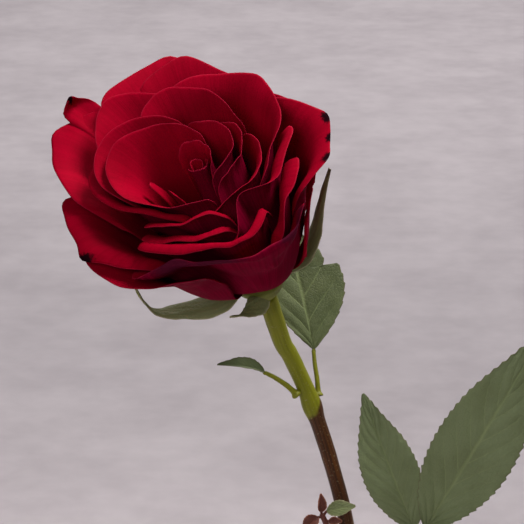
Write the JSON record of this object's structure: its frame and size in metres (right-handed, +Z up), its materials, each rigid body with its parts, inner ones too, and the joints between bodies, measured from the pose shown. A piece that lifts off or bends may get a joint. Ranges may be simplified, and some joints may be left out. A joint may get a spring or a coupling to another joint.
{
  "type": "rose in a bud vase",
  "caption": "Cut red rose with leaves and a young side shoot, standing in a narrow-necked round-bellied bud vase with a flat foot.",
  "frame": {"origin": "centre of the vase's flat foot", "axes": "+Z up along the vase's axis; the bloom leans towards -X and faces -Y, where it is looked at from"},
  "size_m": [0.1835, 0.1058, 0.359],
  "materials": {
    "glaze": "gloss",
    "petal": "matte",
    "stem": "satin",
    "sepal": "matte",
    "leaf": "matte",
    "shoot": "matte"
  },
  "bodies": {
    "root": {"hip": "sepal", "leaf_stalk": "stem", "leaflet_end": "leaf", "leaflet_left": "leaf", "leaflet_right": "leaf", "petal_back_1": "petal", "petal_back_2": "petal", "petal_core_1": "petal", "petal_core_2": "petal", "petal_core_3": "petal", "petal_cup": "petal", "petal_fold_1": "petal", "petal_fold_2": "petal", "petal_guard_1": "petal", "petal_guard_2": "petal", "petal_guard_3": "petal", "petal_guard_4": "petal", "petal_guard_5": "petal", "petal_heart_1": "petal", "petal_heart_2": "petal", "petal_heart_3": "petal", "petal_inner_1": "petal", "petal_inner_2": "petal", "petal_inner_3": "petal", "petal_inner_4": "petal", "petal_middle_1": "petal", "petal_middle_2": "petal", "petal_middle_3": "petal", "petal_middle_4": "petal", "petal_middle_5": "petal", "petal_middle_6": "petal", "petal_outer_1": "petal", "petal_outer_2": "petal", "petal_outer_3": "petal", "petal_outer_4": "petal", "sepal_back_left": "sepal", "sepal_back_right": "sepal", "sepal_front": "sepal", "sepal_left": "sepal", "sepal_right": "sepal", "shoot_leaf_1": "shoot", "shoot_leaf_2": "shoot", "shoot_leaf_3": "shoot", "shoot_leaf_4": "shoot", "shoot_stem": "shoot", "small_leaf": "leaf", "small_leaf_stalk": "stem", "stem": "stem", "upper_leaf": "leaf", "upper_leaf_stalk": "stem", "vase": "glaze"}
  },
  "joints": []
}
